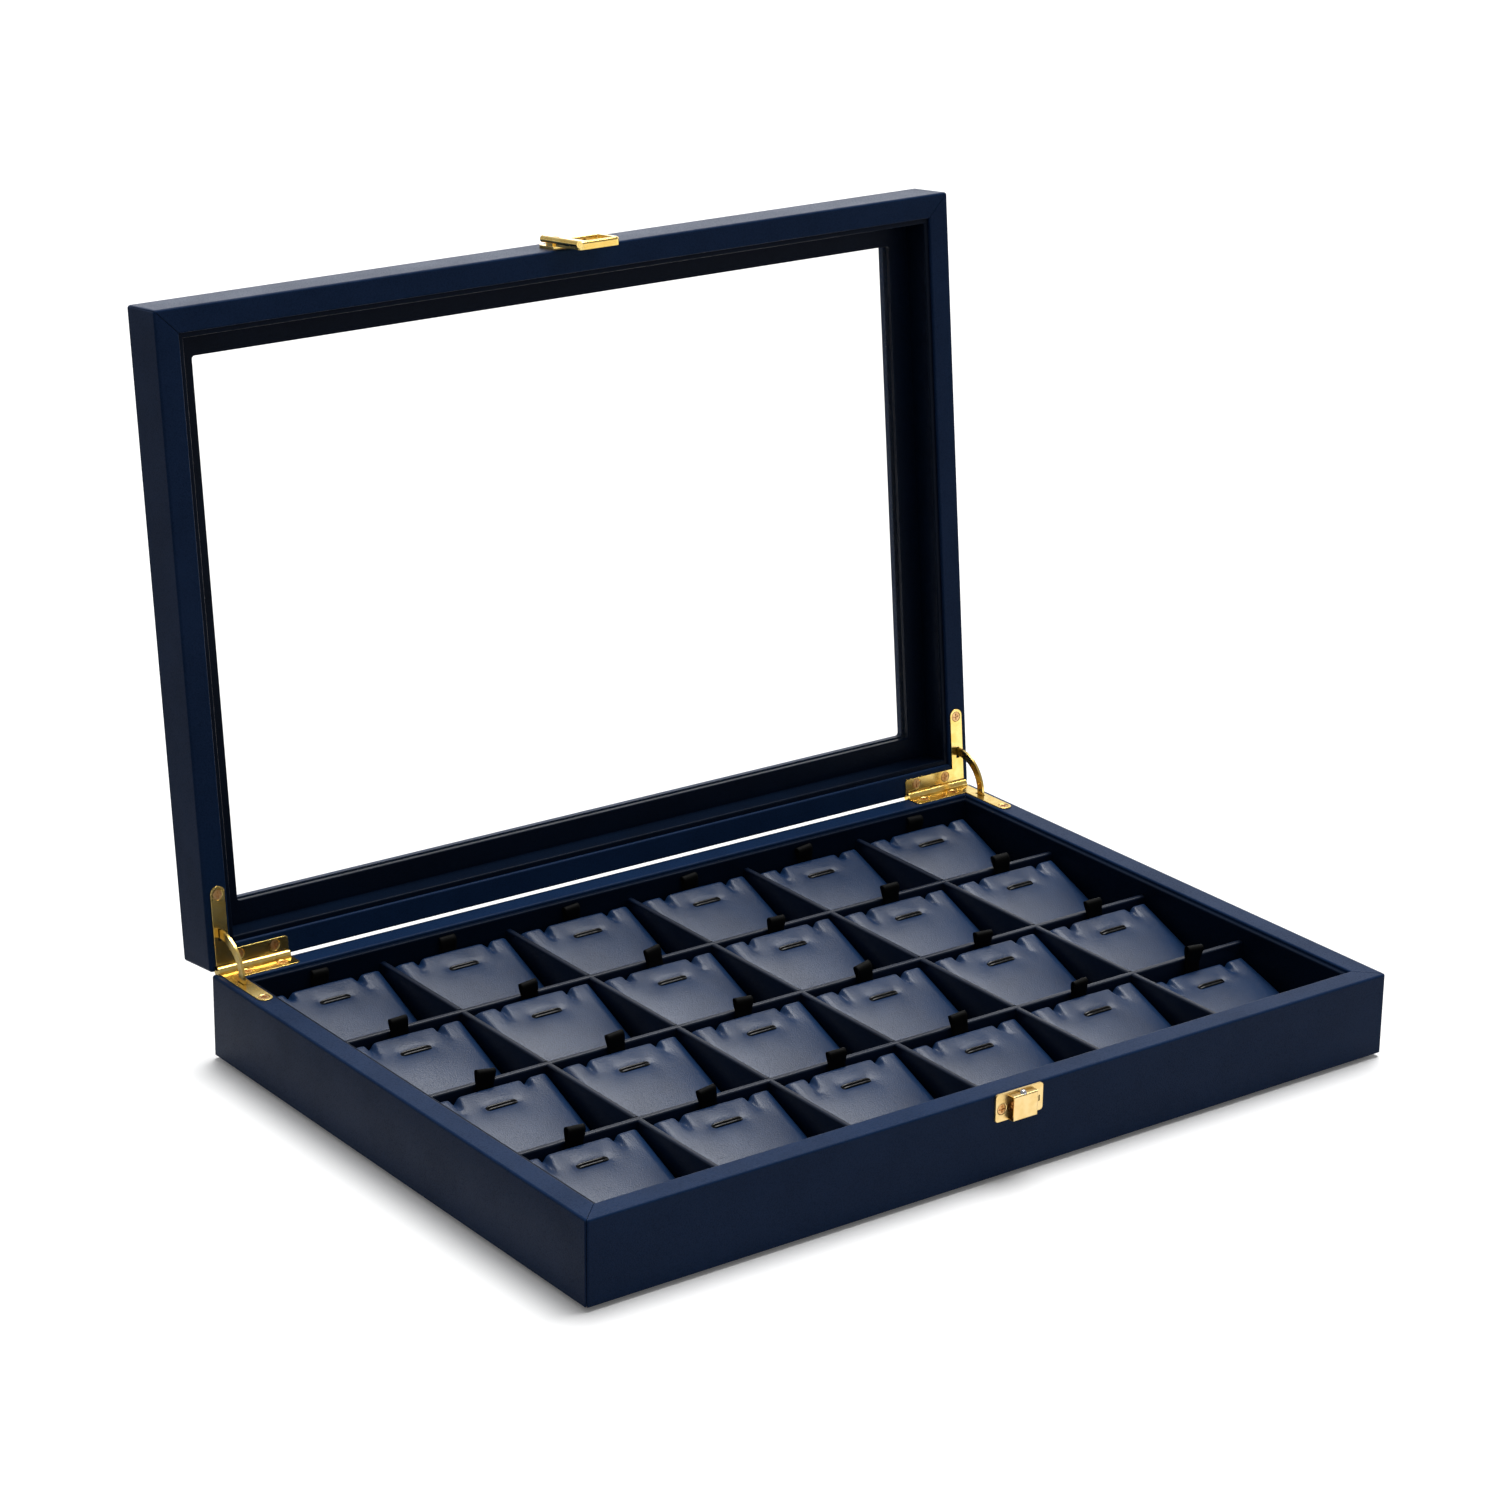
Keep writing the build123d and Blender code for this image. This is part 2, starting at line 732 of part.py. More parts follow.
with BuildPart() as lid_glass:
    with BuildSketch(lid_rim.offset(glass_bottom)):
        Rectangle(inner_width - 2 * glass_clearance, inner_depth - 2 * glass_clearance)
    extrude(amount=glass_thickness)
keep(lid_glass.part, "lid_glass")

with BuildPart() as lid_top_panel:
    with BuildSketch(lid_rim.offset(lid_wall_top)):
        RectangleRounded(case_width, case_depth, corner_rounding)
        RectangleRounded(window_width, window_depth, window_corner, mode=Mode.SUBTRACT)
    extrude(amount=top_panel_thickness)
    outside = lid_top_panel.faces().sort_by(lid_up)[-1]
    outer_edges = outside.outer_wire().edges()
    window_edges = outside.inner_wires()[0].edges()
    fillet(outer_edges, rim_rounding)
    fillet(window_edges, window_rounding)
keep(lid_top_panel.part, "lid_top_panel")


# Pads: a wedge-shaped cushion with a cross bar and a ribbon tab to lift it by

pad_width = cell_width - 2 * pad_side_clearance
pad_depth = cell_depth - pad_front_clearance - pad_rear_clearance
pad_bottom = floor_top + pad_floor_clearance
ribbon_top = divider_top + ribbon_above_dividers

for row in range(1, rows + 1):
    for column in range(1, columns + 1):
        middle = (column - (columns + 1) / 2) * column_pitch
        cell_front = ((rows - 1) / 2 - (row - 1)) * row_pitch - cell_depth / 2
        front = cell_front + pad_front_clearance
        rear = front + pad_depth
        rear_top = base_height - pad_top_drop + pad_height_change.get((row, column), 0)
        front_top = pad_bottom + pad_front_height
        rise = rear_top - front_top
        slope_length = sqrt(rise**2 + pad_depth**2)
        slope_along = Vector(0, pad_depth, rise) / slope_length
        slope_normal = Vector(0, -rise, pad_depth) / slope_length
        bar_height = bar_proud - bar_thickness / 2
        bar_centre = Vector(middle, rear, rear_top) - slope_along * bar_from_rear
        bar_plane = Plane(
            bar_centre + slope_normal * bar_height - Vector(bar_length / 2, 0, 0),
            x_dir=slope_along,
            z_dir=(1, 0, 0),
        )
        with BuildPart() as bar:
            with BuildSketch(bar_plane):
                SlotOverall(bar_width, bar_thickness)
            extrude(amount=bar_length)
        with BuildPart() as cushion:
            with BuildSketch(Plane((middle - pad_width / 2, 0, 0), x_dir=(0, 1, 0), z_dir=(1, 0, 0))):
                with BuildLine():
                    Polyline(
                        (front, pad_bottom),
                        (rear, pad_bottom),
                        (rear, rear_top),
                        (front, front_top),
                        close=True,
                    )
                make_face()
            extrude(amount=pad_width)
            with BuildSketch(Plane.XY.offset(rear_top)):
                with Locations((middle, rear - chain_slot_length / 2)):
                    with GridLocations(2 * chain_slot_spread, 0, 2, 1):
                        Rectangle(chain_slot_width, chain_slot_length)
            extrude(amount=-chain_slot_depth - chain_slot_length * rise / pad_depth, mode=Mode.SUBTRACT)
            add(bar.part, mode=Mode.SUBTRACT)
        with BuildPart() as ribbon:
            with BuildSketch(Plane.XY.offset(ribbon_tail)):
                with Locations((middle, rear + ribbon_thickness / 2)):
                    Rectangle(ribbon_width, ribbon_thickness)
            extrude(amount=ribbon_top - ribbon_tail)
        pad = Compound([cushion.part.solid(), bar.part.solid(), ribbon.part.solid()])
        keep(pad, f"pad_r{row}c{column}")

print(len(node_names), "nodes")
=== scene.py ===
import json
from collections import namedtuple
from math import cos, pi, radians, sin, sqrt

import bpy
import numpy as np
from mathutils import Matrix, Vector


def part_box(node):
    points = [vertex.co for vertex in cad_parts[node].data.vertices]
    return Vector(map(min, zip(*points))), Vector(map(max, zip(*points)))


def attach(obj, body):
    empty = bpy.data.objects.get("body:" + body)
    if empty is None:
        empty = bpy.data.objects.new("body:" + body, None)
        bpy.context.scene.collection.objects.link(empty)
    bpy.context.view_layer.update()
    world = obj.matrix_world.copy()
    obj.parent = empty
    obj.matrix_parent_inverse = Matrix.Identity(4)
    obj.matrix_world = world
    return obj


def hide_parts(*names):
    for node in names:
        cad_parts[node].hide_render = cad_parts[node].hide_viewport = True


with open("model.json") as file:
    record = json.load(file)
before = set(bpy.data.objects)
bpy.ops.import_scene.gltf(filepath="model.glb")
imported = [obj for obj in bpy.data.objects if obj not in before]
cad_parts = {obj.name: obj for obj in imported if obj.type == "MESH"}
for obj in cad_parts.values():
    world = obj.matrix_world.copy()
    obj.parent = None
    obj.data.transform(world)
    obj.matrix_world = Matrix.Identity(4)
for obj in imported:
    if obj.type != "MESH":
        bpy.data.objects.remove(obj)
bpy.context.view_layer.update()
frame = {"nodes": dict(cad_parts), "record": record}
MM = 0.001
scene = bpy.context.scene


# Camera, fitted to the case's long edges in the photograph

camera_place = Vector((-0.8326, -1.0931, 0.6156))
camera_azimuth = radians(36.476)
camera_drop = radians(19.933)
camera_roll = radians(0.74)
focal_pixels = 4131.0
picture_pixels = 1500.0
sensor = 36.0
nearest_seen = 0.05
farthest_seen = 60


def make_camera():
    """Perspective camera whose axes are built from azimuth, drop and roll."""
    ahead = Vector((
        sin(camera_azimuth) * cos(camera_drop),
        cos(camera_azimuth) * cos(camera_drop),
        -sin(camera_drop),
    ))
    right = Vector((cos(camera_azimuth), -sin(camera_azimuth), 0))
    up = right.cross(ahead)
    rolled_right = right * cos(camera_roll) + up * sin(camera_roll)
    rolled_up = up * cos(camera_roll) - right * sin(camera_roll)
    data = bpy.data.cameras.new("camera")
    data.sensor_width = sensor
    data.lens = focal_pixels * sensor / picture_pixels
    data.clip_start = nearest_seen
    data.clip_end = farthest_seen
    camera = bpy.data.objects.new("camera", data)
    axes = Matrix((rolled_right, rolled_up, -ahead)).transposed().to_4x4()
    camera.matrix_world = Matrix.Translation(camera_place) @ axes
    scene.collection.objects.link(camera)
    scene.camera = camera


make_camera()


# Shader maths: a socket that takes Python's operators


def put(tree, socket, value):
    """Link a Shade to a socket, or set the socket's own value."""
    if isinstance(value, Shade):
        tree.links.new(value.socket, socket)
    else:
        socket.default_value = value


def add_node(tree, kind, settings=None, sockets=None, out=0):
    """One node of a kind: its settings first, then the values or links of its sockets."""
    made = tree.nodes.new(kind)
    for name, value in (settings or {}).items():
        setattr(made, name, value)
    for name, value in (sockets or {}).items():
        put(tree, made.inputs[name], value)
    return Shade(tree, made.outputs[out])


class Shade:
    """An output socket of a node tree, whose expressions add Math nodes."""

    def __init__(self, tree, socket):
        self.tree = tree
        self.socket = socket

    def maths(self, operation, *others):
        sockets = dict(enumerate((self, *others)))
        return add_node(self.tree, "ShaderNodeMath", {"operation": operation}, sockets)

    def __add__(self, other):
        return self.maths("ADD", other)

    def __radd__(self, other):
        return self.maths("ADD", other)

    def __sub__(self, other):
        return self.maths("SUBTRACT", other)

    def __rsub__(self, other):
        return (self * -1).maths("ADD", other)

    def __mul__(self, other):
        return self.maths("MULTIPLY", other)

    def __rmul__(self, other):
        return self.maths("MULTIPLY", other)

    def power(self, other):
        return self.maths("POWER", other)

    def between(self, low, high):
        """0 at low, 1 at high, smooth in between."""
        return add_node(
            self.tree,
            "ShaderNodeMapRange",
            {"interpolation_type": "SMOOTHSTEP"},
            {"Value": self, "From Min": low, "From Max": high},
            out="Result",
        )


# Where a colour Mix node keeps its factor, its two colours and its result

mix_factor, mix_first, mix_second, mix_result = 0, 6, 7, 2


class Finish:
    """A material under construction, with Object coordinates in metres."""

    def __init__(self, name):
        self.material = bpy.data.materials.new(name)
        self.material.use_nodes = True
        self.tree = self.material.node_tree
        self.shader = self.tree.nodes["Principled BSDF"]
        self.here = add_node(self.tree, "ShaderNodeTexCoord", out="Object")

    def noise(self, size, detail=2.0, roughness=0.5):
        """Soft noise from 0 to 1 whose blotches are about size metres across."""
        sockets = {"Vector": self.here, "Scale": 1 / size, "Detail": detail, "Roughness": roughness}
        return add_node(self.tree, "ShaderNodeTexNoise", sockets=sockets)

    def pebbles(self, size):
        """Distance to the middle of rounded cells about size metres across."""
        sockets = {"Vector": self.here, "Scale": 1 / size, "Randomness": 1.0}
        return add_node(self.tree, "ShaderNodeTexVoronoi", {"feature": "SMOOTH_F1"}, sockets)

    def colours(self, factor, first, second):
        """Mix of two colours by a factor."""
        sockets = {mix_factor: factor, mix_first: first, mix_second: second}
        return add_node(self.tree, "ShaderNodeMix", {"data_type": "RGBA"}, sockets, out=mix_result)

    def bump(self, height, depth):
        """Bump whose full height is depth metres."""
        sockets = {"Strength": 1.0, "Distance": depth, "Height": height}
        return add_node(self.tree, "ShaderNodeBump", sockets=sockets, out="Normal")

    def set(self, **values):
        """Values or links of the Principled shader, spaces written as underscores."""
        for name, value in values.items():
            put(self.tree, self.shader.inputs[name.replace("_", " ")], value)
        return self.material


def tone(red, green, blue):
    """Linear colour of an sRGB colour given from 0 to 255."""
    def linear(channel):
        part = channel / 255
        return part / 12.92 if part <= 0.04045 else ((part + 0.055) / 1.055) ** 2.4
    return (linear(red), linear(green), linear(blue), 1.0)


# Finishes

patch_size = 20 * MM


def leatherette(name, dark, light, grain, depth, rough, gloss):
    """Pebbled leatherette: rounded cells with fine creases between them, painted darker as painted shade,
    and slow changes of tone.
    """
    finish = Finish(name)
    pebbles = finish.pebbles(grain)
    fine = finish.noise(grain * 0.45, detail=3.0, roughness=0.6)
    patches = finish.noise(patch_size, detail=3.0)
    creases = pebbles.between(0.25, 0.75)
    # Darker in slow random patches and fine specks of tone, and by painted shade in the creases between
    # the cells.
    crease_shade_and_tone = (patches * 0.5 + fine * 0.3 + creases * 0.2).between(0.3, 0.7)
    height = (1 - creases) * 0.7 + fine * 0.3
    return finish.set(
        Base_Color=finish.colours(crease_shade_and_tone, light, dark),
        Roughness=rough + (patches - 0.5) * 0.10 + creases * 0.10,
        Normal=finish.bump(height, depth),
        Specular_IOR_Level=gloss,
    )


case_leather = leatherette(
    "case_leather",
    dark=(0.004, 0.016, 0.050, 1),
    light=(0.007, 0.024, 0.072, 1),
    grain=0.42 * MM,
    depth=0.022 * MM,
    rough=0.36,
    gloss=0.06,
)
pad_leather = leatherette(
    "pad_leather",
    dark=(0.003, 0.015, 0.050, 1),
    light=(0.008, 0.028, 0.082, 1),
    grain=0.42 * MM,
    depth=0.036 * MM,
    rough=0.30,
    gloss=0.26,
)
# The dividers wear a darker copy of the case's leather: painted shade for the shadow they stand in
# between the pads.
shaded_divider_leather = leatherette(
    "shaded_divider_leather",
    dark=(0.0008, 0.004, 0.014, 1),
    light=(0.0018, 0.008, 0.026, 1),
    grain=0.38 * MM,
    depth=0.018 * MM,
    rough=0.34,
    gloss=0.32,
)
# The lining is a darker copy of the case's leather: painted shade for the shade inside the walls and
# round the pads.
lining_leather = leatherette(
    "lining_leather",
    dark=(0.0010, 0.004, 0.012, 1),
    light=(0.002, 0.007, 0.020, 1),
    grain=0.38 * MM,
    depth=0.018 * MM,
    rough=0.36,
    gloss=0.06,
)


def felt_finish():
    """Short black felt: fine matted fibres in slow tufts, with a soft sheen."""
    finish = Finish("felt")
    fibres = finish.noise(0.4 * MM, detail=6.0, roughness=0.7)
    mats = finish.noise(4 * MM, detail=4.0)
    mixed = (fibres * 0.6 + mats * 0.4).between(0.35, 0.65)
    return finish.set(
        Base_Color=finish.colours(mixed, tone(14, 15, 20), tone(34, 36, 44)),
        Roughness=0.95,
        Sheen_Weight=0.4,
        Normal=finish.bump(fibres, 0.3 * MM),
    )


def gold_finish(name, dull, bright, rough):
    """Plated brass with faint polishing waves and a few fine scratches."""
    finish = Finish(name)
    waves = finish.noise(4 * MM)
    scratches = finish.noise(0.3 * MM, detail=4.0)
    return finish.set(
        Base_Color=finish.colours(waves.between(0.35, 0.65), dull, bright),
        Metallic=1.0,
        Roughness=rough + scratches * 0.1,
        Normal=finish.bump(waves * 0.8 + scratches * 0.2, 0.02 * MM),
    )


def steel_finish():
    """Polished steel with fine marks."""
    finish = Finish("steel")
    marks = finish.noise(0.5 * MM, detail=3.0)
    return finish.set(Base_Color=tone(214, 214, 218), Metallic=1.0, Roughness=0.08 + marks * 0.08)


def glass_finish():
    """Clear sheet that lets the light straight through and keeps a faint gloss."""
    finish = Finish("glass")
    smears = finish.noise(30 * MM, detail=3.0)
    return finish.set(Base_Color=tone(236, 244, 242), Roughness=0.02 + smears * 0.03, Alpha=0.03)


def cord_finish():
    """Black glossy elastic cord with a fine twist."""
    finish = Finish("cross_bar")
    twist = finish.noise(0.6 * MM)
    return finish.set(
        Base_Color=tone(6, 6, 7),
        Roughness=0.14 + twist * 0.08,
        Specular_IOR_Level=0.35,
        Normal=finish.bump(twist, 0.02 * MM),
    )


def ribbon_finish():
    """Black satin ribbon: fine ribs across its width, as a sine of the height, and loose threads."""
    finish = Finish("ribbon")
    rib_pitch = 0.35 * MM
    height = add_node(finish.tree, "ShaderNodeSeparateXYZ", sockets={"Vector": finish.here}, out="Z")
    ribs = (height * (2 * pi / rib_pitch)).maths("SINE")
    threads = finish.noise(0.3 * MM, detail=3.0)
    return finish.set(
        Base_Color=finish.colours(threads.between(0.3, 0.7), tone(3, 3, 3), tone(9, 9, 8)),
        Roughness=0.55 + threads * 0.15,
        Specular_IOR_Level=0.08,
        Normal=finish.bump(ribs * 0.5 + threads * 0.5, 0.015 * MM),
    )


felt = felt_finish()
gold = gold_finish("gold", (0.92, 0.62, 0.16, 1), (1.0, 0.74, 0.26, 1), 0.16)
satin_gold = gold_finish("satin_gold", (0.78, 0.55, 0.22, 1), (0.84, 0.62, 0.29, 1), 0.28)
amber = gold_finish("amber", (0.66, 0.36, 0.13, 1), (0.84, 0.52, 0.24, 1), 0.30)
steel = steel_finish()
glass = glass_finish()
cord_black = cord_finish()
ribbon_black = ribbon_finish()


def wear(piece, material):
    """Give a piece one material in place of any it has."""
    piece.data.materials.clear()
    piece.data.materials.append(material)


def finish_frame():
    """Each node of the frame takes the finish of its slot, but the dividers take the darker leather of
    painted shade, and the catch its own.
    """
    finishes = {
        "case_leather": case_leather,
        "pad_leather": pad_leather,
        "lining_leather": lining_leather,
        "felt": felt,
        "gold_brass": gold,
        "screw_brass": amber,
        "ball_steel": steel,
        "glass": glass,
    }
    for part in frame["record"]["subparts"]:
        node = part["node"]
        own = shaded_divider_leather if "divider" in node else finishes[part["material_slot"]]
        wear(frame["nodes"][node], own)
    wear(frame["nodes"]["catch_body"], satin_gold)


finish_frame()


# Surfaces worked out on a grid


def piece_from(name, points, faces, material, body):
    """New smooth piece from a point array in metres and a list of faces."""
    mesh = bpy.data.meshes.new(name)
    mesh.from_pydata(points.tolist(), [], faces)
    mesh.update()
    mesh.polygons.foreach_set("use_smooth", np.ones(len(mesh.polygons), bool))
    piece = bpy.data.objects.new(name, mesh)
    scene.collection.objects.link(piece)
    wear(piece, material)
    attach(piece, body)
    return piece


def grid_faces(rows, columns, wrap_rows=False, wrap_columns=False):
    """Quads of a grid of points numbered row by row, closed round where asked."""
    row = np.arange(rows if wrap_rows else rows - 1)
    column = np.arange(columns if wrap_columns else columns - 1)
    row, column = (a.ravel() for a in np.meshgrid(row, column, indexing="ij"))
    next_row = (row + 1) % rows
    next_column = (column + 1) % columns
    return np.stack([
        row * columns + column,
        row * columns + next_column,
        next_row * columns + next_column,
        next_row * columns + column,
    ], axis=1).tolist()


def vertex_places(mesh):
    """Points of a mesh, one row each."""
    places = np.zeros(len(mesh.vertices) * 3, np.float32)
    mesh.vertices.foreach_get("co", places)
    return places.reshape(-1, 3)


# Where the pads are in the frame

ribbon_room = 1.0 * MM
near = 0.05 * MM

pad_names = sorted(n for n in frame["nodes"] if n.startswith("pad_"))
low_corner, high_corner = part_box(pad_names[0])
pad_width = high_corner.x - low_corner.x
pad_depth = high_corner.y - low_corner.y - ribbon_room
divider_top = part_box("row_divider_rear")[1].z

PadPlace = namedtuple("PadPlace", "middle front rear bottom front_top rear_top ribbon_top")


def pad_place(name):
    """Where a pad's cushion and ribbon are, from its node's box and corner points."""
    low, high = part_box(name)
    rear = high.y - ribbon_room
    places = vertex_places(frame["nodes"][name].data).astype(float)
    at_front = places[:, 1] < low.y + near
    at_rear = np.abs(places[:, 1] - rear) < near
    at_side = np.abs(places[:, 0] - low.x) < near
    return PadPlace(
        middle=(low.x + high.x) / 2,
        front=low.y,
        rear=rear,
        bottom=low.z,
        front_top=places[at_front][:, 2].max(),
        rear_top=places[at_rear & at_side][:, 2].max(),
        ribbon_top=high.z,
    )


# Skins of the pads, from a cloth simulation

skin_side = 88
crown = 1.3 * MM
dart_spread = 14.5 * MM
dart_wander = 0.6
dart_slant = (-0.04, 0.16)
dart_length = 9.0 * MM
dart_stretch = (0.85, 1.15)
dart_half_width = 0.75 * MM
dart_sink = 4.8 * MM
dart_power = 0.7
bar_half = 6.75 * MM
bar_back = 10.0 * MM
slit_half_width = 0.7 * MM
slit_level = 0.1 * MM
slit_dip = 0.4 * MM
slit_power = 6
spare_skin = 0.012
filling_push = 0.7
simulated_skins = 4
simulation_steps = 24
softening = 4
cloth_scale = 100.0


def cloth_sheet(start, cut, side, held):
    """Square cloth with its held points pinned, cut to a larger size than it starts at."""
    mesh = bpy.data.meshes.new("skin")
    mesh.from_pydata(start.tolist(), [], grid_faces(side, side))
    sheet = bpy.data.objects.new("skin", mesh)
    scene.collection.objects.link(sheet)
    sheet.shape_key_add(name="start")
    size = sheet.shape_key_add(name="cut")
    size.data.foreach_set("co", cut.astype(np.float32).ravel())
    pins = sheet.vertex_groups.new(name="held")
    pins.add(np.nonzero(held)[0].tolist(), 1.0, "ADD")
    cloth = sheet.modifiers.new("cloth", "CLOTH")
    cloth.point_cache.frame_end = simulation_steps
    cloth.collision_settings.use_collision = False
    leather = cloth.settings
    leather.quality = 7
    leather.mass = 0.2
    leather.tension_stiffness = 20
    leather.compression_stiffness = 20
    leather.shear_stiffness = 6
    leather.bending_stiffness = 0.3
    leather.air_damping = 4
    leather.use_pressure = True
    leather.uniform_pressure_force = filling_push
    leather.vertex_group_mass = "held"
    leather.rest_shape_key = size
    leather.effector_weights.gravity = 0
    return sheet


def settled_skin(sheet):
    """Heights of a cloth after its simulation, in metres on its square grid. Removes the cloth."""
    for step in range(1, simulation_steps + 1):
        scene.frame_set(step)
    settled = sheet.evaluated_get(bpy.context.evaluated_depsgraph_get()).to_mesh()
    skin = vertex_places(settled)[:, 2].reshape(skin_side, skin_side) / cloth_scale
    bpy.data.objects.remove(sheet)
    scene.frame_set(1)
    return skin


def simulated_skin(seed):
    """Height of a pad's skin over its flat slope on a square grid, from a cloth simulation.

    The skin starts as a crown, a product of two parabolas. It is cut a little larger than the pad
    and held at its edges. Two darts at the rear, which get narrower and shallower with distance
    from it, and the slit of the cross bar draw it down, and the filling pushes it up in between.
    The simulation runs a hundred times larger than life, where cloth behaves well. At last each
    height is averaged a few times with its neighbours', in the shares one, two and one.
    """
    rng = np.random.default_rng(seed)
    side = np.linspace(0, 1, skin_side)
    across, along = (a.ravel() for a in np.meshgrid(side, side, indexing="xy"))
    x = (across - 0.5) * pad_width
    y = (along - 1) * pad_depth
    height = crown * (4 * across * (1 - across)) * (4 * along * (1 - along))
    held = (across == 0) | (across == 1) | (along == 0) | (along == 1)
    for sign in (-1, 1):
        root = sign * (dart_spread + rng.uniform(-dart_wander, dart_wander) * MM)
        middle = root - sign * rng.uniform(*dart_slant) * y
        reach = dart_length * rng.uniform(*dart_stretch)
        dart = (np.abs(x - middle) < dart_half_width * (1 + y / reach)) & (y > -reach)
        held |= dart
        height = np.where(dart, -dart_sink * (1 + y / reach).clip(0, 1) ** dart_power, height)
    slit = (np.abs(x) < bar_half) & (np.abs(y + bar_back) < slit_half_width)
    held |= slit
    height = np.where(slit, slit_level - slit_dip * (np.abs(x) / bar_half) ** slit_power, height)
    start = np.stack([x, y, height], axis=1) * cloth_scale
    cut = start * (1 + spare_skin, 1 + spare_skin, 0)
    skin = settled_skin(cloth_sheet(start, cut, skin_side, held))
    for _ in range(softening):
        skin[1:-1] = (skin[:-2] + 2 * skin[1:-1] + skin[2:]) / 4
        skin[:, 1:-1] = (skin[:, :-2] + 2 * skin[:, 1:-1] + skin[:, 2:]) / 4
    return skin


# Cushions

cushion_side = 112
edge_round = 5.2 * MM
end_round = 2.2 * MM
round_steps = 8
flank_share = 0.7
least_height = 0.2 * MM


def edge_spacing(count, length, rounding):
    """Places from 0 to length, even inside, and spaced by a cosine where the edge is rounded."""
    turn = np.linspace(0, pi / 2, round_steps + 1)
    edge = rounding * (1 - np.cos(turn))
    inner = np.linspace(rounding, length - rounding, count - 2 * round_steps)[1:-1]
    return np.concatenate([edge, inner, length - edge[::-1]])


def bilinear(table, across, along):
    """Values of a square table at fractional places from 0 to 1."""
    size = table.shape[0] - 1
    column = np.clip(across * size, 0, size - 1e-6)
    row = np.clip(along * size, 0, size - 1e-6)
    i, j = row.astype(int), column.astype(int)
    a, b = row - i, column - j
    return (
        table[i, j] * (1 - a) * (1 - b)
        + table[i + 1, j] * a * (1 - b)
        + table[i, j + 1] * (1 - a) * b
        + table[i + 1, j + 1] * a * b
    )


def make_cushion(name, skin):
    """Closed pad: slope plus skin height, less a quarter-round at each edge, over straight sides."""
    pad = pad_place(name)
    xs = edge_spacing(cushion_side, pad_width, edge_round)
    ys = edge_spacing(cushion_side, pad_depth, end_round)
    x, y = np.meshgrid(xs, ys, indexing="xy")
    slope = pad.front_top + (pad.rear_top - pad.front_top) * y / pad_depth
    round_here = np.minimum(edge_round, (slope - pad.bottom) * flank_share)
    from_side = 1 - np.minimum(x, pad_width - x) / edge_round
    from_end = 1 - np.minimum(y, pad_depth - y) / end_round
    short = np.clip(np.maximum(from_side, from_end), 0, 1)
    drop = round_here * (1 - np.sqrt(np.clip(1 - short**2, 0, 1)))
    z = slope + bilinear(skin, x / pad_width, y / pad_depth) - drop
    z = np.maximum(z, pad.bottom + least_height)
    top = np.stack([x + pad.middle - pad_width / 2, y + pad.front, z], axis=2).reshape(-1, 3)
    rows, columns = x.shape
    edge = np.concatenate([
        np.arange(columns),
        np.arange(1, rows) * columns + columns - 1,
        (rows - 1) * columns + np.arange(columns - 2, -1, -1),
        np.arange(rows - 2, 0, -1) * columns,
    ])
    around = len(edge)
    levels = [top[edge] * (1, 1, 1 - share) + (0, 0, pad.bottom * share) for share in (0.5, 1.0)]
    faces = grid_faces(rows, columns)
    ring = edge
    for level in range(len(levels)):
        below = len(top) + level * around + np.arange(around)
        faces += np.stack([ring, below, np.roll(below, -1), np.roll(ring, -1)], axis=1).tolist()
        ring = below
    faces.append(ring[::-1].tolist())
    points = np.concatenate([top, *levels])
    cushion = piece_from(
        name.replace("pad", "cushion"), points, faces, pad_leather, name
    )
    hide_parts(name)


# Cross bars

bar_tube = 0.55 * MM
bar_half_gap = 0.62 * MM
bar_turns = 72
bar_sides = 10
bar_stretch = 1.35
bar_steepness = 6
bar_end_power = 16
bar_rise = 0.75 * MM
bar_dip = 1.5 * MM
bar_dip_power = 8


def make_cross_bar(name):
    """Thin tube carried round a flattened loop that lies along the pad, its ends dipping in.

    Along the bar the loop is a stretched cosine and across it a steep sine, both cut off where
    they would pass one. A high power of the distance from the middle narrows the loop's ends,
    and another lowers them.
    """
    pad = pad_place(name)
    rise = pad.rear_top - pad.front_top
    length = sqrt(rise**2 + pad_depth**2)
    along = np.array([0, pad_depth, rise]) / length
    normal = np.array([0, -rise, pad_depth]) / length
    rear_middle = np.array([pad.middle, pad.rear, pad.rear_top])
    centre = rear_middle - along * bar_back * length / pad_depth
    t = np.linspace(0, 2 * pi, bar_turns, endpoint=False)
    straight = bar_half - bar_half_gap - bar_tube
    x = np.clip(np.cos(t) * bar_stretch, -1, 1) * straight + np.cos(t) * bar_half_gap
    narrowed = np.clip(1 - (x / (straight + bar_half_gap)) ** bar_end_power, 0, 1)
    w = np.clip(np.sin(t) * bar_steepness, -1, 1) * bar_half_gap * np.sqrt(narrowed)
    level = bar_rise - bar_dip * (np.abs(x) / bar_half) ** bar_dip_power
    path = centre + np.outer(x, (1, 0, 0)) + np.outer(w, along) + np.outer(level, normal)
    ahead = np.roll(path, -1, axis=0) - np.roll(path, 1, axis=0)
    ahead /= np.linalg.norm(ahead, axis=1)[:, None]
    out = np.cross(ahead, normal)
    out /= np.linalg.norm(out, axis=1)[:, None]
    lift = np.cross(out, ahead)
    s = np.linspace(0, 2 * pi, bar_sides, endpoint=False)
    points = (
        path[:, None]
        + out[:, None] * (np.cos(s)[None, :, None] * bar_tube)
        + lift[:, None] * (np.sin(s)[None, :, None] * bar_tube)
    ).reshape(-1, 3)
    faces = grid_faces(bar_turns, bar_sides, wrap_rows=True, wrap_columns=True)
    piece_from(name.replace("pad", "cross_bar"), points, faces, cord_black, name)


# Ribbons

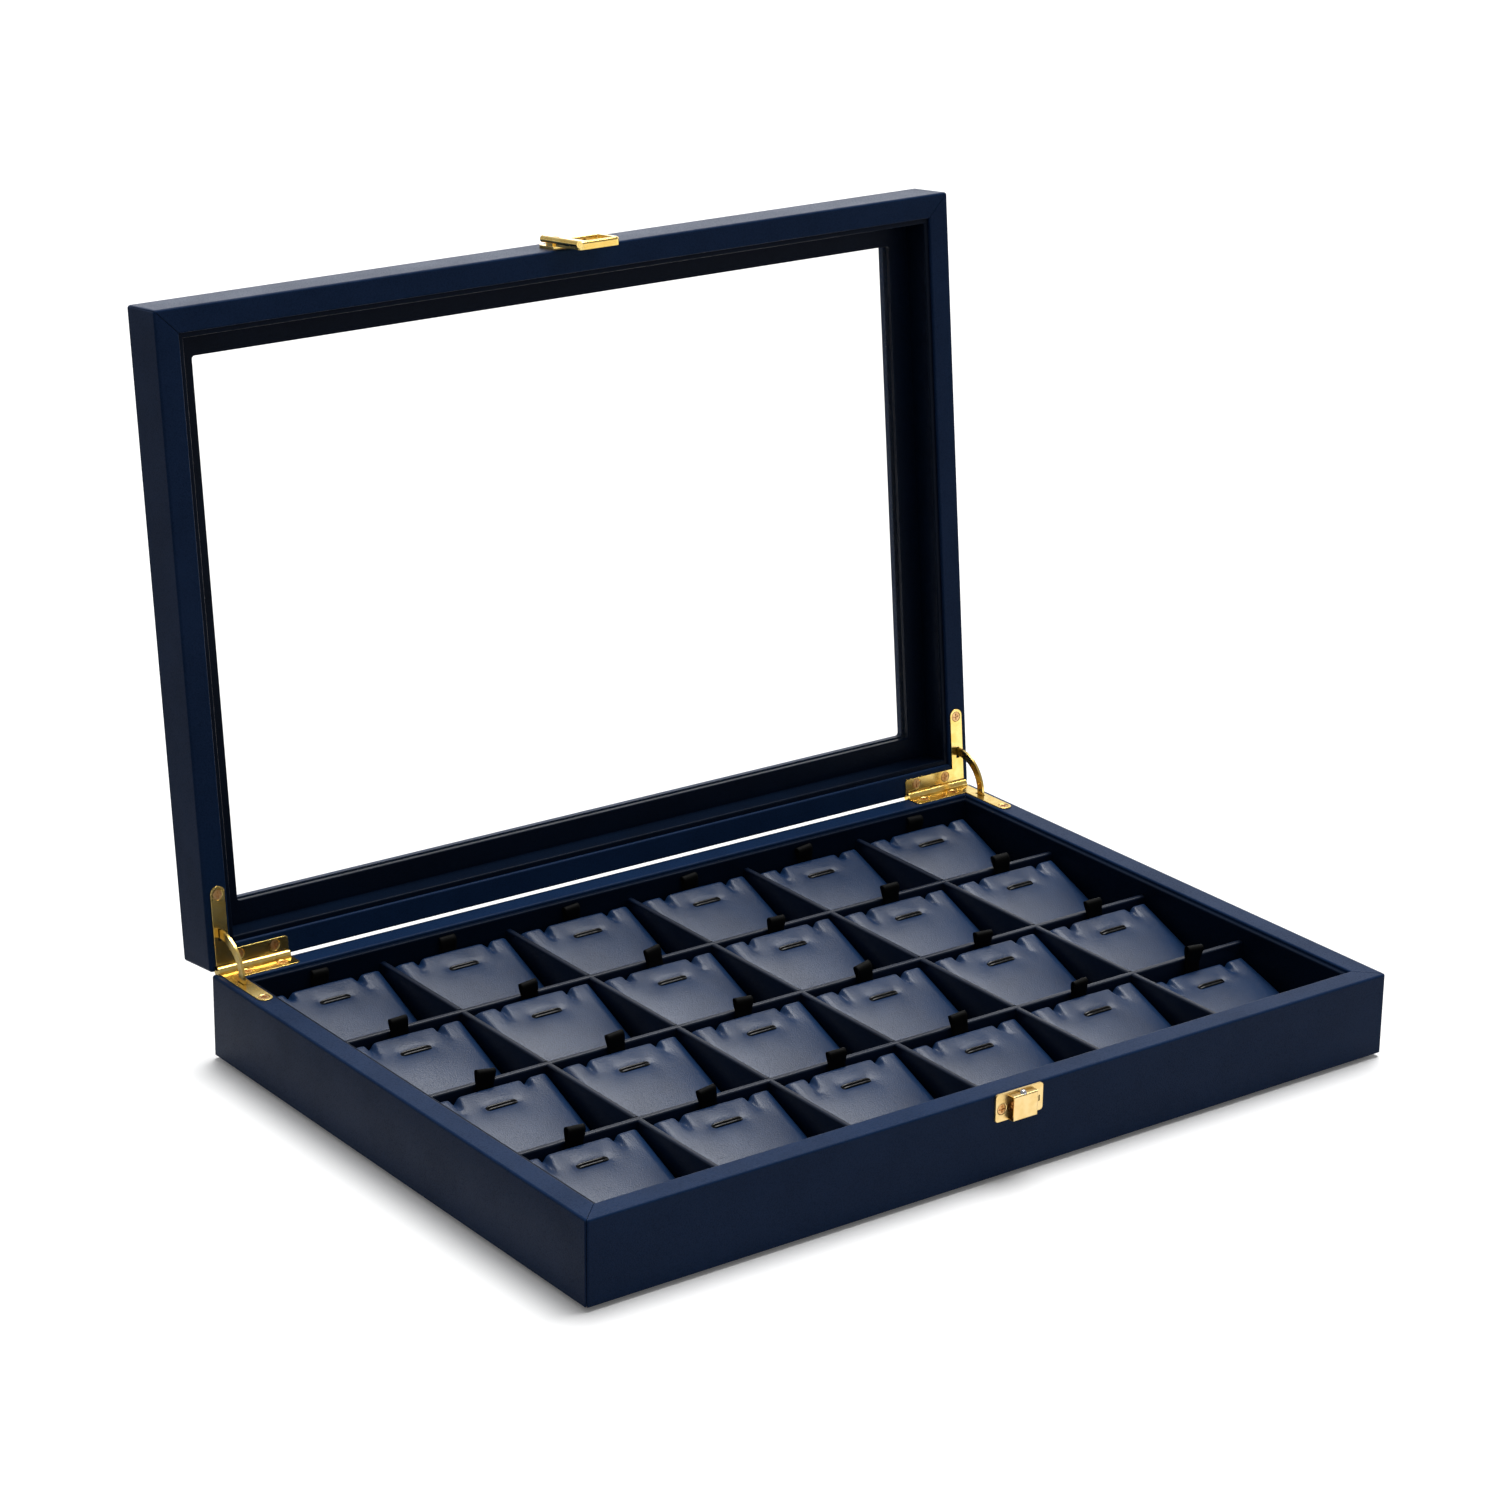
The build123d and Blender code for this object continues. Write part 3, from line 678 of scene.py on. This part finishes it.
ribbon_width = 6.6 * MM
ribbon_ply = 0.35 * MM
ribbon_foot = 12.0 * MM
ribbon_behind = 0.6 * MM
ribbon_rises = 20
ribbon_folds = 11
ribbon_columns = 9
ribbon_lean = (-0.05, 0.22)
ribbon_tilt = (-0.20, 0.06)
ribbon_twist = (-0.22, 0.10)
first_ribbon_seed = 500
pinch_depth = 2.0 * MM
pinched_gap = 0.2 * MM
loop_gap = 1.3 * MM
loop_fullness = (0.7, 1.1)
rear_row_drop = 2.4 * MM
other_rows_drop = (0.7, 1.5)


def folded_outline(head, wide, pinch):
    """Closed outline of the folded ribbon seen from its side, as rows of (y, z).

    Half the loop's gap grows with height as a smooth step, and a half circle closes its top. Two
    offsets of that path, half a ply to each side, make the ribbon's thickness.
    """
    up = np.linspace(ribbon_foot, head, ribbon_rises)
    share = np.clip((up - pinch) / (head - pinch), 0, 1)
    gap = pinched_gap + (wide - pinched_gap) * share**2 * (3 - 2 * share)
    fold = np.linspace(0, pi, ribbon_folds)[1:-1]
    path_y = np.concatenate([-gap, -wide * np.cos(fold), gap[::-1]])
    path_z = np.concatenate([up, head + wide * np.sin(fold), up[::-1]])
    step_y = np.gradient(path_y)
    step_z = np.gradient(path_z)
    size = np.hypot(step_y, step_z)
    normal_y, normal_z = -step_z / size, step_y / size
    sides = []
    for side in (1, -1):
        y = path_y + side * normal_y * ribbon_ply / 2
        z = path_z + side * normal_z * ribbon_ply / 2
        sides.append(np.stack([y, z], axis=1)[::side])
    return np.concatenate(sides)


def make_ribbon(name, seed):
    """Folded ribbon: up from behind the pad, swelling to a teardrop loop, over it and down again.

    Its outline is carried across its width. Above the dividers the loop leans back and sideways,
    and twists, by small random shares of the height.
    """
    rng = np.random.default_rng(seed + first_ribbon_seed)
    pad = pad_place(name)
    lean = rng.uniform(*ribbon_lean)
    tilt = rng.uniform(*ribbon_tilt)
    twist = rng.uniform(*ribbon_twist)
    wide = loop_gap * rng.uniform(*loop_fullness)
    lowered = rear_row_drop if "_r1" in name else rng.uniform(*other_rows_drop) * MM
    head = pad.ribbon_top - lowered - wide - ribbon_ply / 2
    pinch = divider_top - pinch_depth
    outline = folded_outline(head, wide, pinch)
    across = np.linspace(-0.5, 0.5, ribbon_columns) * ribbon_width
    x = across[None, :] + np.zeros((len(outline), 1))
    y = outline[:, :1] + np.zeros_like(x)
    z = outline[:, 1:] + np.zeros_like(x)
    above = np.clip(z - pinch, 0, None)
    points = np.stack([
        x + pad.middle + tilt * above,
        y + pad.rear + ribbon_behind + lean * above + twist * x * above / ribbon_width,
        z - tilt * x * np.clip(above / (pad.ribbon_top - pinch), 0, 1),
    ], axis=2).reshape(-1, 3)
    rows, columns = x.shape
    faces = grid_faces(rows, columns, wrap_rows=True)
    left = np.arange(rows // 2)
    right = rows - 1 - left
    for column, flip in ((0, False), (columns - 1, True)):
        quads = np.stack([
            left[:-1] * columns + column,
            left[1:] * columns + column,
            right[1:] * columns + column,
            right[:-1] * columns + column,
        ], axis=1)
        faces += (quads[:, ::-1] if flip else quads).tolist()
    piece_from(name.replace("pad", "ribbon"), points, faces, ribbon_black, name)


# The four skins are shared out, and every other four pads wear them mirrored

skins = [simulated_skin(seed) for seed in range(simulated_skins)]
for number, pad_name in enumerate(pad_names):
    mirrored = number // simulated_skins % 2 == 1
    skin = skins[number % simulated_skins]
    make_cushion(pad_name, skin[:, ::-1] if mirrored else skin)
    make_cross_bar(pad_name)
    make_ribbon(pad_name, number)


# Stage

floor_half = 14
floor_level = -1.2 * MM
table_level = -1.6 * MM
flag_half = 3.0
flag_level = -1.0 * MM
flag_centre = (-3.2, 2.0)


def flat_square(name, half, level, finish, centre=(0, 0)):
    """Square sheet of the stage, which casts no shadow."""
    mesh = bpy.data.meshes.new(name)
    x, y = centre
    corners = [
        (x - half, y - half, level),
        (x + half, y - half, level),
        (x + half, y + half, level),
        (x - half, y + half, level),
    ]
    mesh.from_pydata(corners, [], [(0, 1, 2, 3)])
    sheet = bpy.data.objects.new(name, mesh)
    sheet.data.materials.append(finish)
    sheet.visible_shadow = False
    scene.collection.objects.link(sheet)
    return sheet


def floor_finish():
    """White floor that glows a little, so that it stays white far from the lights."""
    return Finish("floor").set(
        Base_Color=(0.95, 0.95, 0.95, 1),
        Roughness=0.9,
        Specular_IOR_Level=0.0,
        Emission_Color=(1, 1, 1, 1),
        Emission_Strength=0.06,
    )


def grey_finish(name, grey):
    """Plain matt grey of a sheet that the camera doesn't see."""
    return Finish(name).set(Base_Color=grey, Roughness=0.8)


# The case's walls see the dark table in place of the white floor by diffuse light, and the grey
# flag to the left of the case by reflection

floor = flat_square("floor", floor_half, floor_level, floor_finish())
floor.visible_diffuse = False
table = flat_square("table", floor_half, table_level, grey_finish("table", (0.12, 0.12, 0.13, 1)))
table.visible_camera = False
table.visible_glossy = False
left_flag = flat_square(
    "left_flag", flag_half, flag_level, grey_finish("flag", (0.24, 0.25, 0.27, 1)), flag_centre
)
left_flag.visible_camera = False
left_flag.visible_diffuse = False


# Lamps

key_ray = Vector((-0.29, -0.13, -0.95))
key_strength = 3.3
key_softness = radians(36)


def group_of(name, members):
    """Collection of objects for a lamp's lists."""
    group = bpy.data.collections.new(name)
    for member in members:
        group.objects.link(member)
    return group


def make_key(name, lit, blockers=()):
    """Large soft lamp nearly overhead, a little to the right and back, the same everywhere.

    It lights only the objects in lit, and only the blockers cast its shadows, where given.
    """
    data = bpy.data.lights.new(name, "SUN")
    data.energy = key_strength
    data.angle = key_softness
    lamp = bpy.data.objects.new(name, data)
    lamp.rotation_euler = key_ray.to_track_quat("-Z", "Y").to_euler()
    scene.collection.objects.link(lamp)
    lamp.light_linking.receiver_collection = group_of(name + "_lit", lit)
    if blockers:
        lamp.light_linking.blocker_collection = group_of(name + "_blockers", blockers)


# One lamp lights the case, and the other the stage, where the lid casts no shadow

sheets = [floor, table, left_flag]
on_case = [o for o in scene.objects if o.type == "MESH" and o not in sheets]
lid_nodes = {frame["nodes"][n] for n in frame["record"]["behaviour"]["bodies"]["lid"]}
make_key("key", on_case)
make_key("floor_key", sheets, [o for o in on_case if o not in lid_nodes])


# Surroundings

room_colour = (0.98, 0.99, 1.0, 1)
room_light = 0.30
wall_light = 2.6
wall_towards = (0.6, 0.8, 0.0)
wall_narrowness = 3
wall_lowness = 2.5


def make_surroundings():
    """White room with a bright wall low at the back and right.

    The wall's light is a power of the share of a direction that points to it, times a power of
    one less the direction's height.
    """
    world = bpy.data.worlds.new("studio")
    scene.world = world
    world.use_nodes = True
    tree = world.node_tree
    way = add_node(tree, "ShaderNodeTexCoord", out="Generated")
    towards = add_node(
        tree, "ShaderNodeVectorMath", {"operation": "DOT_PRODUCT"}, {0: way, 1: wall_towards}, out="Value"
    )
    height = add_node(tree, "ShaderNodeSeparateXYZ", sockets={0: way}, out="Z")
    low = (1 - height).power(wall_lowness)
    strength = room_light + towards.maths("MAXIMUM", 0.0).power(wall_narrowness) * low * wall_light
    background = tree.nodes["Background"]
    background.inputs["Color"].default_value = room_colour
    put(tree, background.inputs["Strength"], strength)


make_surroundings()
scene.view_settings.view_transform = "Standard"
